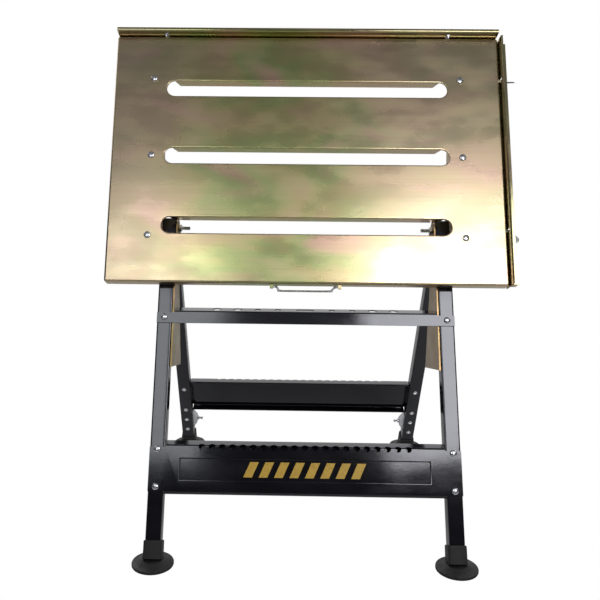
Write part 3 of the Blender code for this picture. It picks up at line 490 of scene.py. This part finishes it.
def smooth_group():
    """Geometry nodes that shade a CAD node smooth wherever its faces meet at a shallow angle."""
    tree = bpy.data.node_groups.new("smooth_by_angle", "GeometryNodeTree")
    tree.interface.new_socket("Geometry", in_out="INPUT", socket_type="NodeSocketGeometry")
    tree.interface.new_socket("Geometry", in_out="OUTPUT", socket_type="NodeSocketGeometry")
    source = tree.nodes.new("NodeGroupInput")
    faces = tree.nodes.new("GeometryNodeSetShadeSmooth")
    edges = tree.nodes.new("GeometryNodeSetShadeSmooth")
    edges.domain = "EDGE"
    angle = tree.nodes.new("GeometryNodeInputMeshEdgeAngle")
    shallow = tree.nodes.new("FunctionNodeCompare")
    shallow.operation = "LESS_THAN"
    shallow.inputs[1].default_value = SMOOTH_BELOW
    result = tree.nodes.new("NodeGroupOutput")
    tree.links.new(source.outputs[0], faces.inputs["Geometry"])
    tree.links.new(faces.outputs[0], edges.inputs["Geometry"])
    tree.links.new(angle.outputs["Unsigned Angle"], shallow.inputs[0])
    tree.links.new(shallow.outputs[0], edges.inputs["Shade Smooth"])
    tree.links.new(edges.outputs[0], result.inputs[0])
    return tree


def rim_group(node, out, reach, rise):
    """Geometry nodes that weight the square edges on a node's face towards out, for a bevel to round.

    It takes edges up to reach from the node's middle in X, and up to rise from it along the face.
    """
    low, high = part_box(node)
    centre = (low.x + high.x) / 2
    along = out.cross(ACROSS)
    face = [vertex.co for vertex in NODES[node].data.vertices]
    level = max(point.dot(out) for point in face)
    face = [point.dot(along) for point in face if point.dot(out) > level - FACE_DEPTH]
    middle = (min(face) + max(face)) / 2
    tree = bpy.data.node_groups.new(node + "_rims", "GeometryNodeTree")
    tree.interface.new_socket("Geometry", in_out="INPUT", socket_type="NodeSocketGeometry")
    tree.interface.new_socket("Geometry", in_out="OUTPUT", socket_type="NodeSocketGeometry")
    place = tree.nodes.new("GeometryNodeInputPosition").outputs[0]

    def maths(kind, operation, first, second):
        node = tree.nodes.new(kind)
        node.operation = operation
        for socket, value in zip(node.inputs, (first, second)):
            if isinstance(value, bpy.types.NodeSocket):
                tree.links.new(value, socket)
            else:
                socket.default_value = value
        return node

    height = maths("ShaderNodeVectorMath", "DOT_PRODUCT", place, out).outputs["Value"]
    split = tree.nodes.new("ShaderNodeSeparateXYZ")
    tree.links.new(place, split.inputs[0])
    sideways = maths("ShaderNodeMath", "SUBTRACT", split.outputs["X"], centre).outputs[0]
    distance = maths("ShaderNodeMath", "ABSOLUTE", sideways, 0.0).outputs[0]
    near = maths("ShaderNodeMath", "LESS_THAN", distance, reach).outputs[0]
    lengthways = maths("ShaderNodeVectorMath", "DOT_PRODUCT", place, along).outputs["Value"]
    offset = maths("ShaderNodeMath", "SUBTRACT", lengthways, middle).outputs[0]
    offset = maths("ShaderNodeMath", "ABSOLUTE", offset, 0.0).outputs[0]
    level_with = maths("ShaderNodeMath", "LESS_THAN", offset, rise).outputs[0]
    upper = maths("ShaderNodeMath", "GREATER_THAN", height, level - FACE_DEPTH).outputs[0]
    angle = tree.nodes.new("GeometryNodeInputMeshEdgeAngle").outputs["Unsigned Angle"]
    steep = maths("ShaderNodeMath", "GREATER_THAN", angle, math.radians(60.0)).outputs[0]
    both = maths("ShaderNodeMath", "MULTIPLY", near, upper).outputs[0]
    inside = maths("ShaderNodeMath", "MULTIPLY", both, level_with).outputs[0]
    weight = maths("ShaderNodeMath", "MULTIPLY", inside, steep).outputs[0]
    store = tree.nodes.new("GeometryNodeStoreNamedAttribute")
    store.data_type = "FLOAT"
    store.domain = "EDGE"
    store.inputs["Name"].default_value = "bevel_weight_edge"
    source = tree.nodes.new("NodeGroupInput")
    result = tree.nodes.new("NodeGroupOutput")
    tree.links.new(source.outputs[0], store.inputs["Geometry"])
    tree.links.new(weight, store.inputs["Value"])
    tree.links.new(store.outputs[0], result.inputs[0])
    return tree


def weld(solid):
    """Joins a CAD node's faces at their shared corners and drops the edges inside flat faces."""
    joined = solid.modifiers.new("weld", "WELD")
    joined.merge_threshold = 0.00001
    flat = solid.modifiers.new("flat_faces", "DECIMATE")
    flat.decimate_type = "DISSOLVE"
    flat.angle_limit = math.radians(0.2)


def round_rims(node, out, reach, rise, width):
    """The bends where a sheet's face turns down, as round its slots or into its sunk panel."""
    solid = NODES[node]
    weld(solid)
    marks = solid.modifiers.new("rims", "NODES")
    marks.node_group = rim_group(node, out, reach, rise)
    bevel = solid.modifiers.new("rim_bend", "BEVEL")
    bevel.width = width
    bevel.segments = 6
    bevel.profile = 0.66
    bevel.use_clamp_overlap = False
    bevel.limit_method = "WEIGHT"


def dress(node, finish, group, edge=0.0):
    """Gives a CAD node its finish, softened edges and smooth shading."""
    solid = NODES[node]
    solid.data.materials.clear()
    solid.data.materials.append(finish.material)
    if not solid.modifiers:
        weld(solid)
    if edge:
        bevel = solid.modifiers.new("soft_edges", "BEVEL")
        bevel.width = edge
        bevel.segments = 3
        bevel.limit_method = "ANGLE"
        bevel.angle_limit = math.radians(40.0)
    smooth = solid.modifiers.new("smooth", "NODES")
    smooth.node_group = group
    level = solid.modifiers.new("level_shading", "WEIGHTED_NORMAL")
    level.keep_sharp = True


# --- Fasteners. ---


def recess_wedge(radius, floor, top, turn):
    """One of the two crossing wedges of a cross-head driver's tip."""
    bm = box_between((-radius, -radius * 0.22, floor), (radius, radius * 0.22, top))
    for vertex in bm.verts:
        if vertex.co.z < (floor + top) / 2:
            vertex.co.x *= 0.35
            vertex.co.y *= 0.60
    bmesh.ops.rotate(bm, verts=bm.verts, matrix=Matrix.Rotation(turn, 3, "Z"))
    return bm


def pan_bolt(name, head_radius, head_height, shank, length):
    """A pan-head screw with a cross recess. Its tip is at Z 0 and its head at the top."""
    seat = length - head_height
    profile = [(0.0, 0.0), (0.0, shank * 0.75), (shank * 0.25, shank), (seat, shank)]
    profile += [(seat, head_radius * 0.95), (seat + head_height * 0.12, head_radius)]
    steps = 7
    for i in range(steps):
        angle = math.radians(14.0 + 68.0 * i / (steps - 1))
        profile.append((seat + head_height * (0.35 + 0.65 * math.sin(angle)), head_radius * math.cos(angle)))
    profile.append((length, 0.0))
    body = mesh_of(name, turned(profile, 36))
    for turn in (0.0, math.pi / 2):
        wedge = recess_wedge(head_radius * 0.56, length - 0.0016, length + 0.0006, turn)
        body = combined(name, body, mesh_of("wedge", wedge), "DIFFERENCE")
    return smoothed(body)


def make_pan_bolts(finish):
    """The screws through the top, the steps and the tool rail, each turned a little differently."""
    kinds = [(f"top_bolt_{row}", "top", TOP_NORMAL, TOP_BOLT_HEAD) for row in ("front", "middle", "rear")]
    for pair, body in PAIRS:
        for level in ("low", "high"):
            kinds.append((f"{pair}_step_bolt_{level}", body, MEMBER_OUT[pair], FRAME_BOLT_HEAD))
    kinds.append(("tool_rail_bolt", "stand", MEMBER_OUT["front"], FRAME_BOLT_HEAD))
    for kind, body, axis, radius in kinds:
        _, length = axis_frame(f"{kind}_left", axis)
        mesh = pan_bolt(kind, radius, PAN_HEIGHT, PAN_SHANK, length)
        for word, side in SIDES:
            place, _ = axis_frame(f"{kind}_{word}", axis)
            twist = Matrix.Rotation(math.radians(20.0 + 35.0 * side + 60.0 * len(kind)), 4, "Z")
            add_piece(f"{kind}_{word}_fine", mesh, place @ twist, finish, body, f"{kind}_{word}")


def make_plate_bolts(finish):
    """The screw that holds each side plate to its front leg."""
    for word, side in SIDES:
        node = f"side_plate_bolt_{word}"
        place, length = axis_frame(node, Vector((-side, 0.0, 0.0)))
        mesh = pan_bolt(node, PLATE_BOLT_HEAD, PAN_HEIGHT, PAN_SHANK, length)
        add_piece(node + "_fine", mesh, place, finish, "stand", node)


def make_rear_leg_screws(finish):
    """Small screw heads on the front of the rear legs, two behind the step and two lower down."""
    mesh = pan_bolt("rear_leg_screw", 0.0050, 0.0022, 0.0022, 0.0034)
    out = -MEMBER_OUT["rear"]
    up = -LEG_DOWN["rear"]
    for word, side in SIDES:
        low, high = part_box(f"foot_rear_{word}")
        middle_x = (low.x + high.x) / 2
        ground = Vector((middle_x, (low.y + high.y) / 2, 0.0))
        leg_low, leg_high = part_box(f"outer_leg_rear_{word}")
        half = (leg_high.x - leg_low.x) / 2
        for number, along in enumerate(REAR_SCREW_PLACES):
            seat = ground + up * along + out * (half - 0.0012)
            place = Matrix.Translation(seat) @ out.to_track_quat("Z", "Y").to_matrix().to_4x4()
            add_piece(f"rear_leg_screw_{word}_{number + 1}", mesh, place, finish, "rear_frame")


def threaded(low, high, radius):
    """A threaded stretch of a turned profile."""
    points = []
    for i in range(int((high - low) / THREAD_PITCH)):
        points.append((low + i * THREAD_PITCH, radius - THREAD_DEPTH))
        points.append((low + (i + 0.5) * THREAD_PITCH, radius))
    return points + [(high, radius - 1.5 * THREAD_DEPTH)]


def hexagon(name, low, high, radius):
    """A hexagon head or nut with its corners turned down at both ends."""
    corner = 0.0007
    profile = [(low, 0.0), (low, radius * 0.91), (low + corner, radius), (high - corner, radius),
               (high, radius * 0.91), (high, 0.0)]
    return mesh_of(name, turned(profile, 6))


def pivot_bolt(name, length, seat, head, nut, radius):
    """A hexagon bolt from its head at Z 0, with a nut at seat. head and nut are (radius, height)."""
    nut_end = seat + nut[1]
    profile = [(head[1] / 2, 0.0), (head[1] / 2, radius), (nut_end - 0.001, radius)]
    if length > nut_end + 0.002:
        profile += threaded(nut_end - 0.0005, length, radius - 0.0004)
        profile.append((length, 0.0))
    else:
        profile.append((nut_end - 0.001, 0.0))
    shank = mesh_of(name + "_shank", turned(profile, 32))
    body = combined(name, hexagon(name + "_head", 0.0, head[1], head[0]), shank, "UNION")
    body = combined(name, body, hexagon(name + "_nut", seat, nut_end, nut[0]), "UNION")
    return smoothed(body, math.radians(25.0))


def make_pivot_bolts(finish):
    """The bolts on the tilt and fold axes, with hexagon heads, nuts and threaded ends."""
    kinds = (("tilt_pivot_bolt", (0.0080, 0.0055), (0.0075, 0.0060), 0.0044),
             ("fold_bolt", (0.0070, 0.0028), (0.0070, 0.0055), 0.0040))
    for kind, head, nut, radius in kinds:
        for word, side in SIDES:
            node = f"{kind}_{word}"
            place, length = axis_frame(node, Vector((-side, 0.0, 0.0)))
            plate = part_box(f"side_plate_{word}")
            inner = plate[1].x if side < 0 else plate[0].x
            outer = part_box(node)[0].x if side < 0 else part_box(node)[1].x
            seat = abs(inner - outer) + 0.0003
            mesh = pivot_bolt(node, length, seat, head, nut, radius)
            add_piece(node + "_fine", mesh, place, finish, "stand", node)


def fluted(bm, low, high, count, depth):
    """Presses shallow flutes into the stretch of a turned shape between two heights."""
    for vertex in bm.verts:
        if low < vertex.co.z < high:
            angle = math.atan2(vertex.co.y, vertex.co.x)
            scale = 1.0 - depth * (0.5 + 0.5 * math.cos(count * angle))
            vertex.co.x *= scale
            vertex.co.y *= scale
    return bm


def make_tilt_lock_knobs(finish):
    """The tilt locks: a plain pin, a collar, a neck and a fluted round knob."""
    for word, side in SIDES:
        node = f"tilt_lock_pin_{word}"
        place, end = axis_frame(node, Vector((-side, 0.0, 0.0)))
        collar = end - 0.0210
        profile = [(0.0, 0.0), (0.0, 0.0032), (0.0010, 0.0040), (collar, 0.0040), (collar, 0.0080)]
        profile += [(collar + 0.0006, 0.0085), (collar + 0.0034, 0.0085), (collar + 0.0040, 0.0080)]
        profile += [(collar + 0.0050, 0.0050), (collar + 0.0088, 0.0050), (collar + 0.0098, 0.0080)]
        profile += [(collar + 0.0112, 0.0104), (collar + 0.0125, 0.0109), (end - 0.0030, 0.0109)]
        profile += [(end - 0.0014, 0.0102), (end - 0.0004, 0.0084), (end, 0.0060), (end, 0.0)]
        knob = fluted(turned(profile, 72), collar + 0.0105, end - 0.0010, 12, 0.07)
        add_piece(node + "_fine", smoothed(mesh_of(node, knob)), place, finish,
                  f"tilt_lock_{word}", node)


def make_lock_pins(finish):
    """The height locks' pull pins: a plain pin, a washer, a neck and a small round head."""
    for pair, _ in PAIRS:
        for word, side in SIDES:
            node = f"lock_pin_{pair}_{word}"
            place, end = axis_frame(node, Vector((-side, 0.0, 0.0)))
            seat = end - 0.0108
            profile = [(0.0, 0.0), (0.0, 0.0022), (0.0008, 0.0030), (seat, 0.0030), (seat, 0.0044)]
            profile += [(seat + 0.0004, 0.0048), (seat + 0.0018, 0.0048), (seat + 0.0022, 0.0044)]
            profile += [(seat + 0.0026, 0.0024), (seat + 0.0060, 0.0022), (seat + 0.0068, 0.0032)]
            profile += [(seat + 0.0078, 0.0038), (seat + 0.0096, 0.0038), (seat + 0.0104, 0.0032)]
            profile += [(end, 0.0018), (end, 0.0)]
            add_piece(node + "_fine", smoothed(mesh_of(node, turned(profile, 32))), place, finish,
                      node, node)


def wing_frame(node, joint):
    """A wing screw's own matrix: X along its axis, and -Z towards its wing."""
    axis = Vector(joint["axis"]).normalized()
    points = [vertex.co for vertex in NODES[node].data.vertices]
    low = min(point.dot(axis) for point in points)
    centre = Vector(joint["pos_m"])
    centre += axis * (low - centre.dot(axis))
    offsets = [point - centre for point in points]
    offsets = [offset - axis * offset.dot(axis) for offset in offsets]
    reach = max(offsets, key=lambda offset: offset.length).normalized()
    normal = (-reach).cross(axis)
    turn = Matrix((axis, normal, -reach)).transposed().to_4x4()
    return Matrix.Translation(centre) @ turn


def wing_plate():
    """The flat wing: a stadium at a slope to the axis, with a rim round both its faces."""
    along = Vector((math.cos(WING_SLOPE), 0.0, -math.sin(WING_SLOPE)))
    across = Vector((math.sin(WING_SLOPE), 0.0, math.cos(WING_SLOPE)))
    start = Vector((0.0165, 0.0, -0.0005))
    outline = [start - across * WING_ROOT_HALF]
    steps = 14
    for i in range(steps + 1):
        angle = math.pi * (i / steps - 0.5)
        reach = WING_LENGTH + WING_TIP_RADIUS * math.cos(angle)
        outline.append(start + along * reach + across * WING_TIP_RADIUS * math.sin(angle))
    outline.append(start + across * WING_ROOT_HALF)
    bm = bmesh.new()
    half = Vector((0.0, WING_HALF_THICKNESS, 0.0))
    rings = [[bm.verts.new(point + offset) for point in outline] for offset in (-half, half)]
    count = len(outline)
    for i in range(count):
        j = (i + 1) % count
        bm.faces.new((rings[0][i], rings[0][j], rings[1][j], rings[1][i]))
    faces = [bm.faces.new(rings[0]), bm.faces.new(rings[1])]
    bmesh.ops.recalc_face_normals(bm, faces=bm.faces)
    for thickness, depth in ((0.0003, 0.0), (0.0011, 0.0), (0.0004, -0.0003)):
        bmesh.ops.inset_individual(bm, faces=faces, thickness=thickness, depth=depth)
    # The outer wall draws in a little at each pass over its corners, which rounds the wing's edge.
    for face in bm.faces:
        wall = len(face.verts) == 4 and abs(face.normal.y) < 0.5
        for vertex in face.verts:
            if wall and abs(abs(vertex.co.y) - WING_HALF_THICKNESS) < 0.00001:
                vertex.co.y *= 0.86
    return bm


def make_wing_screws(finish):
    """A turned collar with a flat wing set at an angle to it."""
    profile = [(0.0, 0.0), (0.0, 0.0022)] + threaded(0.0002, 0.0125, 0.0030)
    profile += [(0.0132, 0.0030), (0.0132, 0.0058), (0.0136, 0.0062), (0.0170, 0.0061), (0.0196, 0.0052)]
    profile += [(0.0205, 0.0044), (0.0210, 0.0030)]
    profile.append((0.0210, 0.0))
    stem = turned(profile, 36)
    bmesh.ops.rotate(stem, verts=stem.verts, matrix=Matrix.Rotation(math.pi / 2, 3, "Y"))
    mesh = combined("wing_screw", mesh_of("stem", stem), mesh_of("wing", wing_plate()), "UNION")
    mesh = smoothed(mesh)
    for node in [name for name in NODES if "wing_screw" in name]:
        add_piece(node + "_fine", mesh, wing_frame(node, JOINTS[node + "_turn"]), finish, node, node)


def rounded_route(points, steps):
    """A smooth line through the points."""
    ends = [points[0] * 2 - points[1]] + points + [points[-1] * 2 - points[-2]]
    route = []
    for a, b, c, d in zip(ends, ends[1:], ends[2:], ends[3:]):
        for i in range(steps):
            t = i / steps
            route.append(0.5 * (2 * b + (c - a) * t + (2 * a - 5 * b + 4 * c - d) * t ** 2
                                + (3 * b - a - 3 * c + d) * t ** 3))
    return route + [points[-1]]


def make_handle(finish):
    """The carry handle: one bent round wire that hangs from two lugs under the front apron."""
    origin = Vector(JOINTS["carry_handle_swing"]["pos_m"])
    points = [vertex.co - origin for vertex in NODES["carry_handle"].data.vertices]
    wire = max(point.dot(TOP_NORMAL) for point in points)
    drop = wire - min(point.dot(TOP_NORMAL) for point in points) - 2 * wire
    end = 0.0054
    half = max(point.x for point in points) - end
    side = [(-half - end, 0.0), (-half + 0.0008, 0.0), (-half + 0.0036, -0.0016),
            (-half + 0.0056, -0.0050), (-half + 0.0084, -drop + 0.0100),
            (-half + 0.0105, -drop + 0.0035), (-half + 0.0165, -drop)]
    path = [origin + ACROSS * x + TOP_NORMAL * z for x, z in side]
    path += [origin - ACROSS * x + TOP_NORMAL * z for x, z in reversed(side)]
    route = rounded_route(path, 5)
    curve = bpy.data.curves.new("carry_handle_fine", "CURVE")
    curve.dimensions = "3D"
    curve.bevel_depth = wire
    curve.bevel_resolution = 5
    curve.use_fill_caps = True
    spline = curve.splines.new("POLY")
    spline.points.add(len(route) - 1)
    for point, place in zip(spline.points, route):
        point.co = (*place, 1.0)
    add_piece("carry_handle_fine", curve, Matrix(), finish, "carry_handle", "carry_handle")


def panel_middle(out, up):
    """The middle of the front step's sunk panel, on the panel's own face."""
    level = max(vertex.co.dot(out) for vertex in NODES["front_step"].data.vertices) - PANEL_DEPTH
    bolts = [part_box(f"front_step_bolt_{height}_{word}") for height in ("low", "high") for word, _ in SIDES]
    middle = sum(((low + high) / 2 for low, high in bolts), Vector()) / len(bolts)
    return middle + out * (level - middle.dot(out)) - up * 0.0015


def make_stripes(finish):
    """A row of plain slanted bars, painted on the front step's sunk panel."""
    out = MEMBER_OUT["front"]
    up = -LEG_DOWN["front"]
    middle = panel_middle(out, up)
    paint = (0.00005, 0.00020)
    bm = bmesh.new()
    for i in range(BAR_COUNT):
        centre = (i - (BAR_COUNT - 1) / 2) * BAR_PITCH
        corners = ((centre - BAR_HALF_WIDTH - BAR_SLANT, -BAR_HALF_HEIGHT),
                   (centre + BAR_HALF_WIDTH - BAR_SLANT, -BAR_HALF_HEIGHT),
                   (centre + BAR_HALF_WIDTH + BAR_SLANT, BAR_HALF_HEIGHT),
                   (centre - BAR_HALF_WIDTH + BAR_SLANT, BAR_HALF_HEIGHT))
        rings = [[bm.verts.new(middle + ACROSS * x + up * z + out * lift) for x, z in corners]
                 for lift in paint]
        bm.faces.new(rings[0])
        bm.faces.new(rings[1])
        for a in range(4):
            b = (a + 1) % 4
            bm.faces.new((rings[0][a], rings[0][b], rings[1][b], rings[1][a]))
    bmesh.ops.recalc_face_normals(bm, faces=bm.faces)
    add_piece("front_step_stripes", mesh_of("front_step_stripes", bm), Matrix(), finish, "stand")


# --- Feet. ---


def foot_pad():
    """The round pad: a flat sole, a thin rolled rim and a dished skirt that rises to the boot."""
    low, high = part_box("foot_front_left")
    radius = (high.x - low.x) / 2
    profile = [(0.0, 0.0), (0.0, radius - 0.0015), (0.0006, radius - 0.0004), (0.0015, radius)]
    profile += [(0.0040, radius), (0.0052, radius - 0.0005), (0.0058, radius - 0.0018)]
    for i in range(9):
        t = i / 8
        profile.append((0.0058 + 0.0062 * t ** 1.6, radius - 0.0030 - (radius - 0.0225) * t))
    profile.append((0.0120, 0.0))
    return turned(profile, 72)


def boot_ring(bm, height, inset):
    """A square ring of points with rounded corners."""
    ring = []
    steps = 5
    middle = BOOT_HALF - BOOT_CORNER
    radius = BOOT_CORNER - inset
    for quarter, (a, b) in enumerate(((1, 1), (-1, 1), (-1, -1), (1, -1))):
        for i in range(steps + 1):
            angle = (quarter + i / steps) * math.pi / 2
            ring.append(bm.verts.new((a * middle + radius * math.cos(angle),
                                      b * middle + radius * math.sin(angle), height)))
    return ring


def foot_boot(lean):
    """The square boot: a sleeve with rounded corners and a rounded lip at its mouth."""
    bm = bmesh.new()
    levels = ((0.0095, -0.0002), (0.0380, 0.0), (0.0388, 0.0), (0.0404, 0.0006), (0.0410, 0.0014))
    rings = [boot_ring(bm, height, inset) for height, inset in levels]
    for first, second in zip(rings, rings[1:]):
        for i in range(len(first)):
            j = (i + 1) % len(first)
            bm.faces.new((first[i], first[j], second[j], second[i]))
    bm.faces.new(list(reversed(rings[0])))
    bm.faces.new(rings[-1])
    bmesh.ops.rotate(bm, verts=bm.verts, matrix=Matrix.Rotation(lean, 3, "X"))
    return bm


def foot_mesh(pair, lean):
    """A foot: its pad and boot as one body, with the socket that the inner leg stands in."""
    boot = mesh_of("boot", foot_boot(lean))
    mesh = combined(f"foot_{pair}", mesh_of("pad", foot_pad()), boot, "UNION")
    socket = box_between((-SOCKET_HALF, -SOCKET_HALF, 0.014), (SOCKET_HALF, SOCKET_HALF, 0.060))
    bmesh.ops.rotate(socket, verts=socket.verts, matrix=Matrix.Rotation(lean, 3, "X"))
    return smoothed(combined(f"foot_{pair}_fine", mesh, mesh_of("socket", socket), "DIFFERENCE"))


def make_feet(finish):
    """The four feet. Each rides on its own sliding leg."""
    for pair, _ in PAIRS:
        down = LEG_DOWN[pair]
        mesh = foot_mesh(pair, math.atan2(down.y, -down.z))
        for word, _ in SIDES:
            low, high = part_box(f"foot_{pair}_{word}")
            place = Matrix.Translation(((low.x + high.x) / 2, (low.y + high.y) / 2, low.z))
            add_piece(f"foot_{pair}_{word}_fine", mesh, place, finish,
                      f"sliding_leg_{pair}_{word}", f"foot_{pair}_{word}")


# --- Assembly. ---


def dress_nodes(group):
    """Gives every CAD node its finish, also those that a finer piece stands for."""
    top = yellow_zinc("yellow_zinc_top", -TOP_TILT)
    # Painted shade: the rails and the side plates and brackets are darker copies of the top's zinc, the
    # plates darkest and the rails greener.
    rails = yellow_zinc("yellow_zinc_rails", -TOP_TILT, (0.80, 0.86, 0.74), 0.13)
    plates = yellow_zinc("yellow_zinc_plates", 0.0, (0.52, 0.44, 0.32), 0.30)
    round_rims("table_top", TOP_NORMAL, 0.285, 0.24, SLOT_BEND)
    round_rims("front_step", MEMBER_OUT["front"], 0.24, 0.024, PANEL_BEND)
    steel = bright_zinc("bright_zinc_loose")
    black = black_coat("black_coat")
    for node in NODES:
        if node == "table_top":
            dress(node, top, group, SHEET_EDGE)
        elif node.endswith("guide_rail"):
            dress(node, rails, group, SHEET_EDGE)
        elif node.startswith("top_bracket") or node in ("side_plate_left", "side_plate_right"):
            dress(node, plates, group, SHEET_EDGE)
        elif any(word in node for word in ("bolt", "pin", "spring", "wing", "handle")):
            dress(node, steel, group)
        elif node.startswith("foot"):
            dress(node, black, group)
        elif node.endswith("_step"):
            dress(node, black, group, STEP_EDGE)
        else:
            dress(node, black, group, SHEET_EDGE)


def main():
    bpy.context.scene.view_settings.view_transform = "Standard"
    make_camera()
    make_world()
    make_lights()
    make_floor()
    dress_nodes(smooth_group())
    steel = bright_zinc("bright_zinc_bolts", 0.20)
    make_pan_bolts(steel)
    make_plate_bolts(steel)
    make_rear_leg_screws(steel)
    make_pivot_bolts(steel)
    make_tilt_lock_knobs(black_coat("black_coat_knobs", 0.30))
    make_lock_pins(steel)
    make_wing_screws(steel)
    make_handle(steel)
    make_stripes(yellow_paint("yellow_paint"))
    make_feet(black_rubber("black_rubber"))


main()
